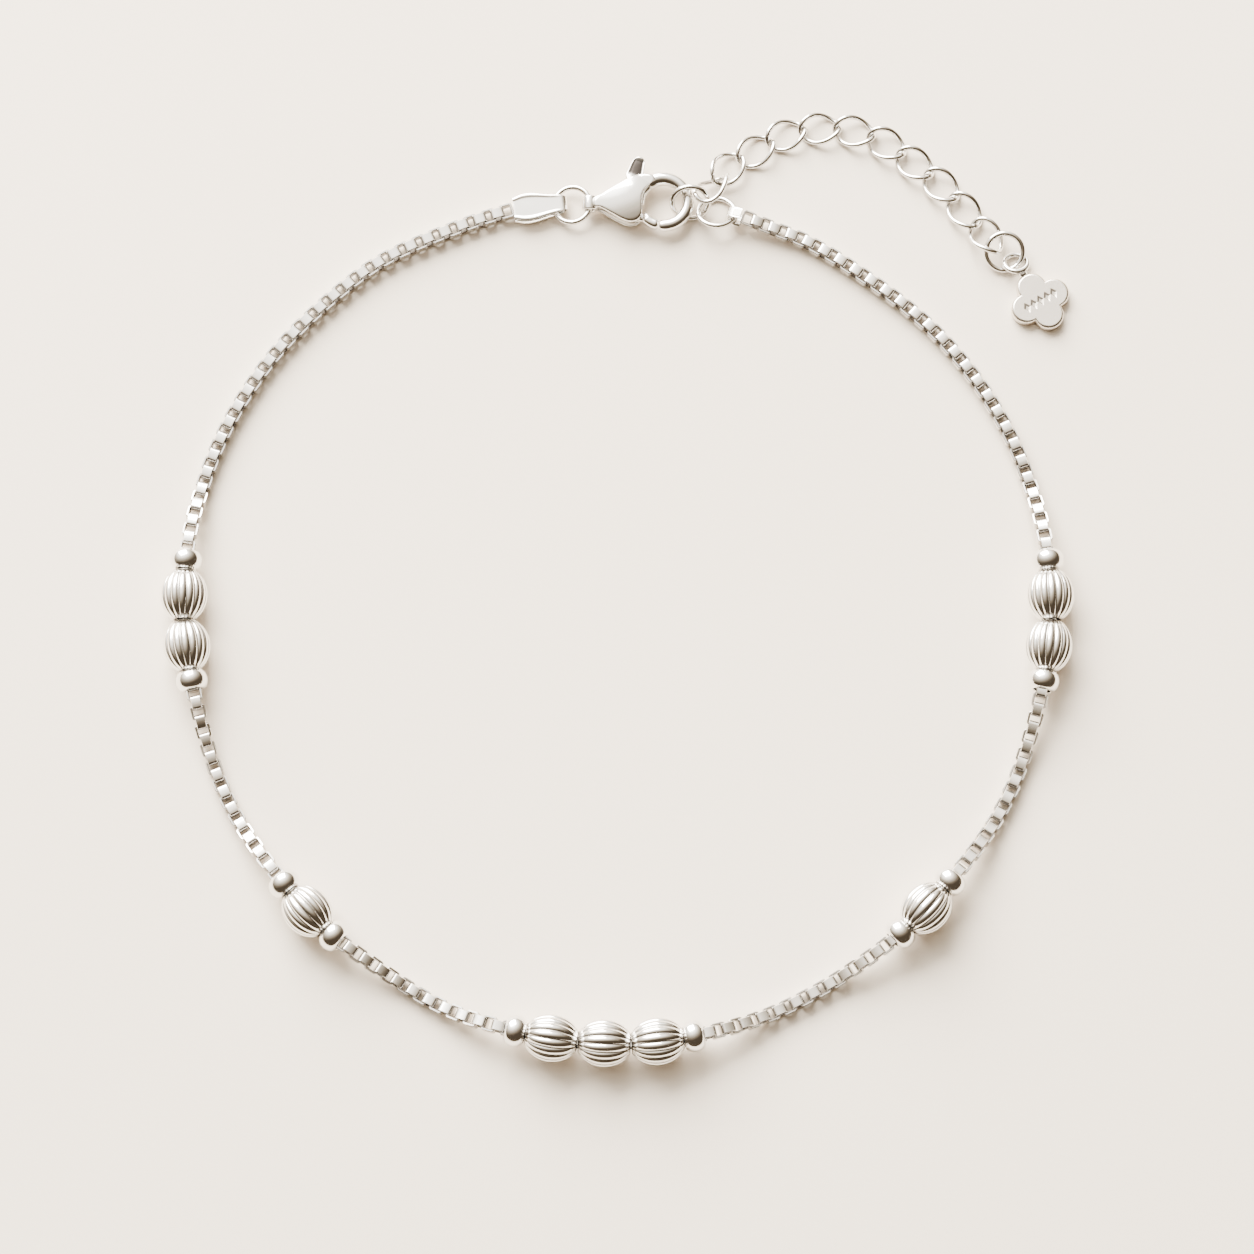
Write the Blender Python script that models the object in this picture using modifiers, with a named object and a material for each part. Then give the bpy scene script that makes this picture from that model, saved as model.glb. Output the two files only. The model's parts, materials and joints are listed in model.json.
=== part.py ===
"""An anklet of polished silver: fluted oval beads and smooth spacers strung on a box chain, which a lobster clasp
closes into a loop, with a curb extender chain that ends in a four-leaved tag.

Metres, +Z up. It lies flat on z = 0, where its origin is the middle of its footprint. Seen from above, the clasp is
at the back (+Y) and the group of three beads at the front (-Y).
"""

import math

import bmesh
import bpy
from mathutils import Matrix, Vector

# Loop and box chain
LOOP_RADIUS = 0.0369
CHAIN_RADIUS = 0.00066
CHAIN_RISE = 0.0070
CHAIN_END_GAP = 0.00025
TUBE_POINTS = 78
LIE_GAP = 0.00002

# Where the chain lies: angle round the loop's centre in degrees, distance from it as a share of LOOP_RADIUS
CHAIN_ROUTE = (
    (113.0, 0.995),
    (126.0, 1.004),
    (144.0, 1.004),
    (162.0, 1.001),
    (181.8, 0.990),
    (205.0, 0.990),
    (225.4, 0.994),
    (240.0, 0.994),
    (253.0, 1.007),
    (268.5, 1.010),
    (284.0, 1.007),
    (300.0, 0.994),
    (315.0, 0.992),
    (335.0, 0.994),
    (358.2, 0.996),
    (380.0, 1.003),
    (400.0, 1.000),
    (420.0, 0.992),
)

# Beads and spacers
BEAD_RADIUS = 0.0020
BEAD_LENGTH = 0.00422
BEAD_POLE_RADIUS = 0.00104
BEAD_FLUTES = 16
FLUTE_DEPTH = 0.00015
RONDELLE_RADIUS = 0.0013
RONDELLE_LENGTH = 0.0015
BORE_CLEARANCE = 0.00022
BEAD_GAP = 0.00020

# Each group of beads: its name, the angle of its middle in degrees and how many beads lie between its two spacers
BEAD_GROUPS = (
    ("left", 181.8, 2),
    ("lower_left", 225.4, 1),
    ("bottom", 268.5, 3),
    ("lower_right", 315.0, 1),
    ("right", 358.2, 2),
)

# Jump rings: a tilt is a turn in degrees about the X axis, and a way points from one piece's middle to the next
RING_RADIUS = 0.00156
RING_WIRE = 0.00019
RING_TURNS = 24
CLASP_RING_TILT = 50.0
CLASP_RING_SHIFT = (0.00005, -0.00012)
CHAIN_RING_TILT = -24.0
CHAIN_RING_WAY = (0.93, -0.29, -0.20)
CHAIN_RING_SLACK = 0.00032
END_RING_TILT = 22.15
END_RING_WAY = (0.743, -0.669, 0.0)
END_RING_LAP = 0.00143
END_RING_LIFT = 0.00017

# Folded end caps
CAP_SHEET = 0.00022
CAP_CLEARANCE = 0.00016
LEFT_CAP_LENGTH = 0.00385
LEFT_CAP_WIDTH = 0.0024
LEFT_CAP_NECK = 0.0014
LEFT_CAP_SLACK = 0.00030
LEFT_CAP_TURN = 7.5
RIGHT_CAP_LENGTH = 0.00075
RIGHT_CAP_WIDTH = 0.00115
RIGHT_CAP_SLACK = 0.00010
RIGHT_CAP_TURN = -16.0

# Lobster clasp, in its own frame: the tail eye at its origin, the hook towards +X, the thumb tab towards +Y
CLASP_EYE_X = -0.00229
CLASP_EYE_SHARE = 0.9786
CLASP_THICKNESS = 0.0022
CLASP_ROUNDING = 0.00040
CLASP_NECK = 0.00084
HOOK_X = 0.00635
HOOK_Y = 0.00015
HOOK_RADIUS = 0.0027
HOOK_WIDTH = 0.00086
HOOK_THICKNESS = 0.00115
HOOK_ROUNDING = 0.00042
EYE_RADIUS = 0.00070
EYE_CLEARANCE = 0.00015
EYE_LENGTH = 0.00075
PIVOT_X = 0.00344
PIVOT_Y = -0.00107
PIN_RADIUS = 0.00026
PIN_COVER = 0.00030
LEVER_SHEET = 0.0007
LEVER_CLEARANCE = 0.00015
LEVER_SWING = 20.0
LEVER_ARM = 0.00104
BOSS_RADIUS = 0.00062
GATE_INNER = 0.00130
SEAM_RADIUS = 0.00262
SLOT_CLEARANCE = 0.00022
SLOT_LOW = 0.0015
SLOT_HIGH = 0.0012
TAB_HEIGHT = 0.00395

# The clasp's edges from its neck to its hook: along as a share of HOOK_X, across as a share of HOOK_RADIUS
CLASP_BELLY = ((0.142, -0.204), (0.299, -0.426), (0.433, -0.604))
CLASP_BACK = ((0.142, 0.215), (0.236, 0.352), (0.409, 0.604), (0.591, 0.874))

# The lever's arm from its pin to its tab: across as a share of LEVER_ARM, along as a share of its whole reach
ARM_INNER = ((-0.50, 0.0), (-0.21, 0.667), (0.29, 0.90), (0.54, 0.98), (0.885, 1.0))
ARM_OUTER = ((0.50, 0.0), (1.0, 0.687), (1.23, 0.87), (1.19, 0.94))

# Extender chain
LINK_LENGTH = 0.0039
LINK_WIDTH = 0.00295
LINK_WIRE = 0.00018
LINK_SLACK = 0.00016
LINK_TWIST = -38.0
LINK_COUNT = 11
LINK_POINTS = 16

# Where the extender's links lie: metres from the clasp ring's centre, the first two being the first two links' middles
EXTENDER_ROUTE = (
    (0.00187, 0.00130),
    (0.00318, 0.00329),
    (0.0057, 0.0050),
    (0.0085, 0.0065),
    (0.0114, 0.0070),
    (0.0143, 0.0067),
    (0.0171, 0.0055),
    (0.0218, 0.0017),
    (0.0256, -0.0030),
)

# How the first two links and the last one lean on the rings that they hang from: the link's place in the chain, the
# height of its middle, and its heading, slope and roll in degrees
LEANING_LINKS = {
    0: (0.00172, 45.0, -14.0, -38.0),
    1: (0.00091, 46.5, -12.0, 7.0),
    LINK_COUNT - 1: (0.00093, -59.0, 7.7, -8.7),
}

# Tag with its soldered eye
TAG_LOBE_RADIUS = 0.00129
TAG_LOBE_OFFSET = 0.00140
TAG_THICKNESS = 0.0010
TAG_ROUNDING = 0.00018
TAG_TURN = 30.5
TAG_EYE_RADIUS = 0.00100
TAG_EYE_WIRE = 0.00018
TAG_EYE_REACH = 0.0040
TAG_EYE_TILT = -27.0
TAG_EYE_WAY = (0.729, -0.685, 0.0)
TAG_EYE_LAP = 0.00120
SOLDER_RADIUS = 0.00036
SOLDER_TOP = 0.00104

MIRROR = (0.93, 0.92, 0.90)
SATIN = (0.86, 0.85, 0.83)


def collection(name):
    """A new collection in the scene."""
    made = bpy.data.collections.new(name)
    bpy.context.scene.collection.children.link(made)
    return made


def silver(name, colour, roughness):
    """Polished or satin silver."""
    material = bpy.data.materials.new(name)
    material.use_nodes = True
    shader = material.node_tree.nodes["Principled BSDF"]
    shader.inputs["Base Color"].default_value = (*colour, 1.0)
    shader.inputs["Roughness"].default_value = roughness
    shader.inputs["Metallic"].default_value = 1.0
    return material


def adopt(thing, name, group, material=None):
    """Names an object or a new object of a mesh and puts it in one collection, with its material."""
    if isinstance(thing, bpy.types.Mesh):
        thing = bpy.data.objects.new(name, thing)
    for other in list(thing.users_collection):
        other.objects.unlink(thing)
    group.objects.link(thing)
    thing.name = name
    thing.data.name = name
    if material:
        thing.data.materials.clear()
        thing.data.materials.append(material)
    return thing


def cutter(thing, name):
    """A guide that only takes part in Booleans."""
    thing = adopt(thing, name, GUIDES)
    thing.hide_render = True
    thing.display_type = "WIRE"
    return thing


def combine(target, tool, operation):
    """A Boolean of two closed solids, kept as a modifier."""
    step = target.modifiers.new(tool.name, "BOOLEAN")
    step.operation = operation
    step.solver = "EXACT"
    step.object = tool


def round_edges(target, width, segments):
    """A bevel on the sharp edges of a flat piece."""
    bevel = target.modifiers.new("Rounding", "BEVEL")
    bevel.width = width
    bevel.segments = segments
    bevel.limit_method = "ANGLE"
    bevel.angle_limit = math.radians(50)


def mesh_of(thing):
    """The evaluated mesh of an object, its loose caps welded; the object itself is removed."""
    bpy.context.view_layer.update()
    mesh = bpy.data.meshes.new_from_object(thing.evaluated_get(bpy.context.evaluated_depsgraph_get()))
    shape = bmesh.new()
    shape.from_mesh(mesh)
    bmesh.ops.remove_doubles(shape, verts=shape.verts, dist=1e-6)
    shape.to_mesh(mesh)
    shape.free()
    bpy.data.objects.remove(thing)
    return mesh


def smooth(thing, angle=40.0):
    """Round faces shade smooth, real edges stay sharp."""
    thing.data.shade_smooth()
    thing.data.set_sharp_from_angle(angle=math.radians(angle))
    return thing


def on_circle(centre, radius, start, end, count):
    """Points along an arc, its angles in degrees."""
    angles = [math.radians(start + (end - start) * i / (count - 1)) for i in range(count)]
    return [(centre[0] + radius * math.cos(a), centre[1] + radius * math.sin(a)) for a in angles]


def flat_solid(outline, thickness):
    """The mesh of a flat outline, extruded to both sides of z = 0."""
    curve = bpy.data.curves.new("outline", "CURVE")
    curve.dimensions = "2D"
    curve.fill_mode = "BOTH"
    curve.extrude = thickness / 2
    spline = curve.splines.new("POLY")
    spline.points.add(len(outline) - 1)
    for point, (x, y) in zip(spline.points, outline):
        point.co = (x, y, 0.0, 1.0)
    spline.use_cyclic_u = True
    thing = bpy.data.objects.new("outline", curve)
    bpy.context.scene.collection.objects.link(thing)
    return mesh_of(thing)


def cylinder(radius, depth, place, sides=24, along_y=False):
    """A cylinder primitive, upright or along Y."""
    turn = (math.radians(90), 0.0, 0.0) if along_y else (0.0, 0.0, 0.0)
    bpy.ops.mesh.primitive_cylinder_add(
        vertices=sides, radius=radius, depth=depth, location=place, rotation=turn
    )
    return bpy.context.object


def ring(name, frame, radius=RING_RADIUS, wire=RING_WIRE, group=None):
    """A soldered jump ring, round its frame's Z axis."""
    bpy.ops.mesh.primitive_torus_add(
        major_radius=radius, minor_radius=wire, major_segments=RING_TURNS, minor_segments=6
    )
    thing = adopt(bpy.context.object, name, group or PARTS, RING_SILVER)
    thing.matrix_world = frame
    return smooth(thing, 80.0)


def wire_curve(name, points, radius, cyclic, sides):
    """A wire or tube through points, with filled caps where it is open."""
    curve = bpy.data.curves.new(name, "CURVE")
    curve.dimensions = "3D"
    curve.bevel_depth = radius
    curve.bevel_resolution = (sides - 4) // 2
    curve.use_fill_caps = not cyclic
    curve.render_resolution_u = 0
    spline = curve.splines.new("POLY")
    spline.points.add(len(points) - 1)
    for point, place in zip(spline.points, points):
        point.co = (*place, 1.0)
    spline.use_cyclic_u = cyclic
    return bpy.data.objects.new(name, curve)


def catmull_rom(points, step):
    """Points about every step along the smooth curve through the given ones."""
    ends = [points[0] * 2 - points[1], *points, points[-1] * 2 - points[-2]]
    fine = []
    for before, start, end, after in zip(ends, ends[1:], ends[2:], ends[3:]):
        count = max(2, round((end - start).length / step))
        for i in range(count):
            t = i / count
            fine.append(
                0.5
                * (
                    2 * start
                    + (end - before) * t
                    + (2 * before - 5 * start + 4 * end - after) * t**2
                    + (3 * start - before - 3 * end + after) * t**3
                )
            )
    return [*fine, points[-1]]


class Route:
    """A smooth line through a few points, read by the length along it."""

    def __init__(self, points, step=0.0001):
        self.points = catmull_rom(points, step)
        self.marks = [0.0]
        for a, b in zip(self.points, self.points[1:]):
            self.marks.append(self.marks[-1] + (b - a).length)
        self.length = self.marks[-1]

    def at(self, s):
        """The point at length s; past its ends the line goes straight on."""
        low, high = 0, len(self.marks) - 1
        while high - low > 1:
            middle = (low + high) // 2
            low, high = (middle, high) if self.marks[middle] <= s else (low, middle)
        t = (s - self.marks[low]) / (self.marks[high] - self.marks[low])
        return self.points[low] + (self.points[high] - self.points[low]) * t

    def along(self, s):
        """The direction at length s."""
        return (self.at(s + 0.0002) - self.at(s - 0.0002)).normalized()

    def nearest(self, place):
        """The length at the point nearest to a place."""
        return min(zip(self.marks, self.points), key=lambda mark: (mark[1] - place).length)[0]


def frame_of(place, x_axis, normal):
    """A matrix at a place, with its X along a direction and its Z as near to a normal as that allows."""
    x = Vector(x_axis).normalized()
    y = Vector(normal).cross(x).normalized()
    z = x.cross(y)
    return Matrix.Translation(place) @ Matrix((x, y, z)).transposed().to_4x4()


def turned(point, degrees):
    """A flat point turned round its frame's origin."""
    a = math.radians(degrees)
    return (point[0] * math.cos(a) - point[1] * math.sin(a), point[0] * math.sin(a) + point[1] * math.cos(a))


def leaning(centre, tilt):
    """The frame of a ring that leans by a tilt in degrees about the X axis."""
    return Matrix.Translation(centre) @ Matrix.Rotation(math.radians(tilt), 4, "X")


def resting_height(radius, wire, tilt):
    """How high the middle of a leaning ring lies above the surface that it touches."""
    return wire + LIE_GAP + radius * abs(math.sin(math.radians(tilt)))


def polar(angle, radius, z=0.0):
    """A point round the loop's centre, its angle in degrees."""
    return Vector((radius * math.cos(math.radians(angle)), radius * math.sin(math.radians(angle)), z))


for old in list(bpy.data.objects):
    bpy.data.objects.remove(old)

PARTS = collection("anklet")
GUIDES = collection("anklet_cutters")
BEAD_SILVER = silver("bead_silver", MIRROR, 0.12)
CHAIN_SILVER = silver("chain_silver", MIRROR, 0.16)
RING_SILVER = silver("ring_silver", MIRROR, 0.10)
CLASP_SILVER = silver("clasp_silver", MIRROR, 0.10)
TAG_SILVER = silver("tag_silver", SATIN, 0.28)

# Closure: the places of the clasp, its rings and the end caps, from the left chain end to the right one
CAP_INNER = RING_WIRE + CAP_CLEARANCE
CAP_OUTER = CAP_INNER + CAP_SHEET
CLOSURE_Y = LOOP_RADIUS * CLASP_EYE_SHARE
CLASP_EYE = Vector((CLASP_EYE_X, CLOSURE_Y, CLASP_THICKNESS / 2))

left_pitch = math.asin((CLASP_EYE.z - CAP_OUTER) / (2 * RING_RADIUS))
left_way = Vector((math.cos(left_pitch), 0.0, math.sin(left_pitch)))
LEFT_RING = frame_of(CLASP_EYE - left_way * RING_RADIUS, left_way, (0, 0, 1))
left_turn = math.radians(LEFT_CAP_TURN)
left_cap_way = Vector((math.cos(left_turn), math.sin(left_turn), 0.0))
left_bend = CLASP_EYE - left_way * 2 * RING_RADIUS + left_cap_way * LEFT_CAP_SLACK
LEFT_MOUTH = left_bend - left_cap_way * LEFT_CAP_LENGTH
LEFT_CAP = frame_of(LEFT_MOUTH, left_cap_way, (0, 0, 1))

hook_wire = CLASP_EYE + Vector((HOOK_X + HOOK_RADIUS - HOOK_WIDTH / 2, HOOK_Y, 0.0))
clasp_ring_centre = hook_wire + Vector((*CLASP_RING_SHIFT, 0.0))
clasp_ring_centre.z = resting_height(RING_RADIUS, RING_WIRE, CLASP_RING_TILT)
CLASP_RING = leaning(clasp_ring_centre, CLASP_RING_TILT)

chain_ring_reach = 2 * (RING_RADIUS - RING_WIRE) - CHAIN_RING_SLACK
chain_ring_centre = clasp_ring_centre + Vector(CHAIN_RING_WAY).normalized() * chain_ring_reach
CHAIN_RING = leaning(chain_ring_centre, CHAIN_RING_TILT)

right_turn = math.radians(RIGHT_CAP_TURN)
right_seat = CHAIN_RING @ Vector((RING_RADIUS * math.cos(right_turn), RING_RADIUS * math.sin(right_turn), 0.0))
right_cap_way = (right_seat - chain_ring_centre).normalized()
right_bend = right_seat - right_cap_way * RIGHT_CAP_SLACK
RIGHT_MOUTH = right_bend + right_cap_way * RIGHT_CAP_LENGTH
RIGHT_CAP = frame_of(RIGHT_MOUTH, -right_cap_way, CHAIN_RING.to_3x3() @ Vector((0, 0, 1)))


def lay_chain():
    """The box chain's line, which lies on the surface and climbs to the bore of each group of beads."""
    flat = [Vector((LEFT_MOUTH.x, LEFT_MOUTH.y, 0.0)) - left_cap_way * CHAIN_END_GAP]
    flat += [polar(angle, share * LOOP_RADIUS) for angle, share in CHAIN_ROUTE]
    flat.append(Vector((RIGHT_MOUTH.x, RIGHT_MOUTH.y, 0.0)) + right_cap_way * CHAIN_END_GAP)
    flat[-1].z = 0.0
    line = Route(flat)
    rest = CHAIN_RADIUS + LIE_GAP
    spans = []
    for _name, angle, beads in BEAD_GROUPS:
        middle = line.nearest(polar(angle, LOOP_RADIUS))
        half = beads * (BEAD_LENGTH + BEAD_GAP) / 2 + RONDELLE_LENGTH + BEAD_GAP
        spans.append((middle, half))
    for mark, point in zip(line.marks, line.points):
        point.z = rest
        for middle, half in spans:
            share = min(1.0, max(0.0, (abs(mark - middle) - half) / CHAIN_RISE))
            ease = share**3 * (share * (6 * share - 15) + 10)
            point.z = max(point.z, BEAD_RADIUS + (rest - BEAD_RADIUS) * ease)
        for end, height in ((0.0, LEFT_MOUTH.z), (line.length, RIGHT_MOUTH.z)):
            share = min(1.0, abs(mark - end) / CHAIN_RISE)
            point.z += max(0.0, height - rest) * (1 - share) ** 2
    return line


def turned_mesh(name, profile, steps):
    """The mesh of a closed profile of (radius, height) turned round Z; it runs down its outer side."""
    mesh = bpy.data.meshes.new(name)
    count = len(profile)
    mesh.from_pydata([(r, 0.0, z) for r, z in profile], [(i, (i + 1) % count) for i in range(count)], [])
    thing = bpy.data.objects.new(name, mesh)
    bpy.context.scene.collection.objects.link(thing)
    screw = thing.modifiers.new("Turn", "SCREW")
    screw.steps = screw.render_steps = steps
    screw.use_merge_vertices = True
    screw.merge_threshold = 1e-6
    return mesh_of(thing)


def fluted_bead():
    """An oval bead with flutes that run from pole to pole and fade at its flat ends."""
    half = BEAD_LENGTH / 2
    bore = CHAIN_RADIUS + BORE_CLEARANCE
    profile = []
    pole = math.acos(BEAD_POLE_RADIUS / BEAD_RADIUS)
    for i in range(7):
        a = pole * (1 - i / 3)
        profile.append((BEAD_RADIUS * math.cos(a), half * math.sin(a) / math.sin(pole)))
    profile += [(bore, -half), (bore, half)]
    mesh = turned_mesh("fluted_bead", profile, 2 * BEAD_FLUTES)
    for vertex in mesh.vertices:
        x, y, z = vertex.co
        radius = math.hypot(x, y)
        depth = FLUTE_DEPTH * (0.5 - 0.5 * math.cos(BEAD_FLUTES * math.atan2(y, x)))
        if radius > bore + BORE_CLEARANCE / 2:
            depth *= (radius - bore) / (BEAD_RADIUS - bore)
            vertex.co = (x * (1 - depth / radius), y * (1 - depth / radius), z)
    return mesh


def rondelle():
    """A smooth round spacer."""
    half = RONDELLE_LENGTH / 2
    bore = CHAIN_RADIUS + BORE_CLEARANCE
    belly = RONDELLE_RADIUS - bore
    profile = []
    for i in range(5):
        a = math.radians(76 - 38 * i)
        profile.append((bore + belly * math.cos(a), half * math.sin(a) / math.sin(math.radians(76))))
    profile += [(bore, -half), (bore, half)]
    return turned_mesh("rondelle", profile, 16)


def string_beads(line):
    """Every bead and spacer on the chain's line, each group between its two spacers."""
    bead_mesh, rondelle_mesh = fluted_bead(), rondelle()
    for group, angle, beads in BEAD_GROUPS:
        middle = line.nearest(polar(angle, LOOP_RADIUS, BEAD_RADIUS))
        pitch = BEAD_LENGTH + BEAD_GAP
        places = [("bead", i + 1, (i - (beads - 1) / 2) * pitch) for i in range(beads)]
        reach = beads * pitch / 2 + (RONDELLE_LENGTH + BEAD_GAP) / 2
        places += [("rondelle", 1, -reach), ("rondelle", 2, reach)]
        for kind, number, offset in places:
            mesh = bead_mesh if kind == "bead" else rondelle_mesh
            thing = adopt(mesh, f"{kind}_{group}_{number}", PARTS, BEAD_SILVER)
            thing.location = line.at(middle + offset)
            thing.rotation_euler = line.along(middle + offset).to_track_quat("Z", "Y").to_euler()
    for mesh, angle in ((bead_mesh, 25.0), (rondelle_mesh, 50.0)):
        mesh.shade_smooth()
        mesh.set_sharp_from_angle(angle=math.radians(angle))


def box_chain(line):
    """The box chain's outer form: a tube from one end cap to the other, through every bead."""
    points = [line.at(line.length * i / (TUBE_POINTS - 1)) for i in range(TUBE_POINTS)]
    adopt(wire_curve("box_chain", points, CHAIN_RADIUS, False, 8), "box_chain", PARTS, CHAIN_SILVER)


def end_cap(name, frame, length, plan):
    """A strip folded round a ring: a U section of sheet, cut to its outline seen from above. Its mouth, where the
    chain is soldered in, is at its frame's origin, and its fold lies length along X."""
    section = [(0.0, -CAP_OUTER), *on_circle((length, 0.0), CAP_OUTER, -90, 90, 9), (0.0, CAP_OUTER)]
    section += [(0.0, CAP_INNER), *on_circle((length, 0.0), CAP_INNER, 90, -90, 9), (0.0, -CAP_INNER)]
    widest = 2 * max(y for _x, y in plan)
    strip = adopt(flat_solid(section, widest * 1.5), name, PARTS, CLASP_SILVER)
    strip.data.transform(Matrix.Rotation(math.radians(90), 4, "X"))
    strip.matrix_world = frame
    shape = cutter(flat_solid(plan, 4 * CAP_OUTER), name + "_outline")
    shape.matrix_world = frame
    combine(strip, shape, "INTERSECT")
    return smooth(strip, 35.0)


def left_end_cap():
    """The long pod-shaped cap: round at its mouth, widest near it and narrow at its fold."""
    length, wide, neck = LEFT_CAP_LENGTH, LEFT_CAP_WIDTH / 2, LEFT_CAP_NECK / 2
    mouth = wide * 0.5
    side = [(mouth, wide), (length * 0.3, wide), (length * 0.55, wide * 0.86), (length * 0.8, neck * 1.12)]
    side += [(length + CAP_OUTER * 1.2, neck)]
    half = on_circle((mouth, wide - mouth), mouth, 180, 90, 6)[:-1] + side
    plan = [(x, -y) for x, y in half] + [(x, y) for x, y in reversed(half)]
    end_cap("end_cap_left", LEFT_CAP, length, plan)


def right_end_cap():
    """The short cap on the chain's other end."""
    reach, wide = RIGHT_CAP_LENGTH + CAP_OUTER * 1.2, RIGHT_CAP_WIDTH / 2
    plan = [(-CAP_SHEET, -wide), (reach, -wide), (reach, wide), (-CAP_SHEET, wide)]
    end_cap("end_cap_right", RIGHT_CAP, RIGHT_CAP_LENGTH, plan)


def clasp_body():
    """The clasp's one casting: a domed body of two cheeks with the lever's slot between them, the hook, the tail eye
    and the lever's pin."""
    hook_inner = HOOK_RADIUS - HOOK_WIDTH
    heel = (PIVOT_X + LEVER_CLEARANCE, PIVOT_Y + LEVER_CLEARANCE)
    heel_radius = HOOK_X - hook_inner - heel[0]
    outline = [(EYE_RADIUS * 0.6, -CLASP_NECK / 2), *[(x * HOOK_X, y * HOOK_RADIUS) for x, y in CLASP_BELLY]]
    outline += on_circle(heel, heel_radius, -115, 0, 8)
    outline += on_circle((HOOK_X, HOOK_Y), hook_inner, 180, 112, 7)
    outline += on_circle((HOOK_X, HOOK_Y), HOOK_RADIUS, 112, 128, 3)
    outline += [(x * HOOK_X, y * HOOK_RADIUS) for x, y in reversed(CLASP_BACK)]
    outline += [(EYE_RADIUS * 0.6, CLASP_NECK / 2)]
    body = adopt(flat_solid(outline, CLASP_THICKNESS), "clasp_body", PARTS, CLASP_SILVER)
    round_edges(body, CLASP_ROUNDING, 2)

    hook = cylinder(HOOK_RADIUS, HOOK_THICKNESS, (HOOK_X, HOOK_Y, 0.0), 40)
    hole = cutter(cylinder(hook_inner, CLASP_THICKNESS, (HOOK_X, HOOK_Y, 0.0), 32), "clasp_opening")
    seam = cutter(cylinder(SEAM_RADIUS + LEVER_CLEARANCE / 2, CLASP_THICKNESS, (PIVOT_X, PIVOT_Y, 0.0), 48), "seam")
    hook = cutter(hook, "clasp_hook")
    combine(hook, hole, "DIFFERENCE")
    round_edges(hook, HOOK_ROUNDING, 2)
    combine(hook, seam, "DIFFERENCE")

    eye = cutter(cylinder(EYE_RADIUS, EYE_LENGTH, (0.0, 0.0, 0.0), 16, along_y=True), "clasp_eye")
    eye_hole = cylinder(RING_WIRE + EYE_CLEARANCE, CLASP_THICKNESS, (0.0, 0.0, 0.0), 12, along_y=True)
    eye_hole = cutter(eye_hole, "clasp_eye_hole")

    slot_height = LEVER_SHEET + 2 * LEVER_CLEARANCE
    reach = TAB_HEIGHT - PIVOT_Y
    fan = [(x * LEVER_ARM - SLOT_CLEARANCE, y * reach) for x, y in ARM_INNER[:3]]
    fan = [turned(point, LEVER_SWING) for point in fan]
    fan += [(fan[-1][0], reach), (LEVER_ARM * 1.5, reach)]
    fan += [(x * LEVER_ARM + SLOT_CLEARANCE, y * reach) for x, y in reversed(ARM_OUTER[:2])]
    fan = cutter(flat_solid(fan, slot_height), "slot_fan")
    side = SEAM_RADIUS * 0.75
    mouth = [(0.0, -SLOT_LOW), (side, -SLOT_LOW), (side, SLOT_HIGH), (0.0, SLOT_HIGH)]
    mouth = cutter(flat_solid(mouth, slot_height), "slot_mouth")
    boss = cutter(cylinder(BOSS_RADIUS + LEVER_CLEARANCE, slot_height, (0.0, 0.0, 0.0)), "slot_boss")
    for tool in (fan, mouth, boss):
        tool.matrix_world = Matrix.Translation((PIVOT_X, PIVOT_Y, 0.0))
    pin = cutter(cylinder(PIN_RADIUS, CLASP_THICKNESS - 2 * PIN_COVER, (PIVOT_X, PIVOT_Y, 0.0), 12), "clasp_pin")

    for tool in (hook, eye):
        combine(body, tool, "UNION")
    combine(body, eye_hole, "DIFFERENCE")
    for tool in (fan, mouth, boss):
        combine(body, tool, "DIFFERENCE")
    combine(body, pin, "UNION")
    for tool in (body, hook, hole, seam, eye, eye_hole, fan, mouth, boss, pin):
        tool.matrix_world = Matrix.Translation(CLASP_EYE) @ tool.matrix_world
    smooth(body, 35.0)


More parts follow.
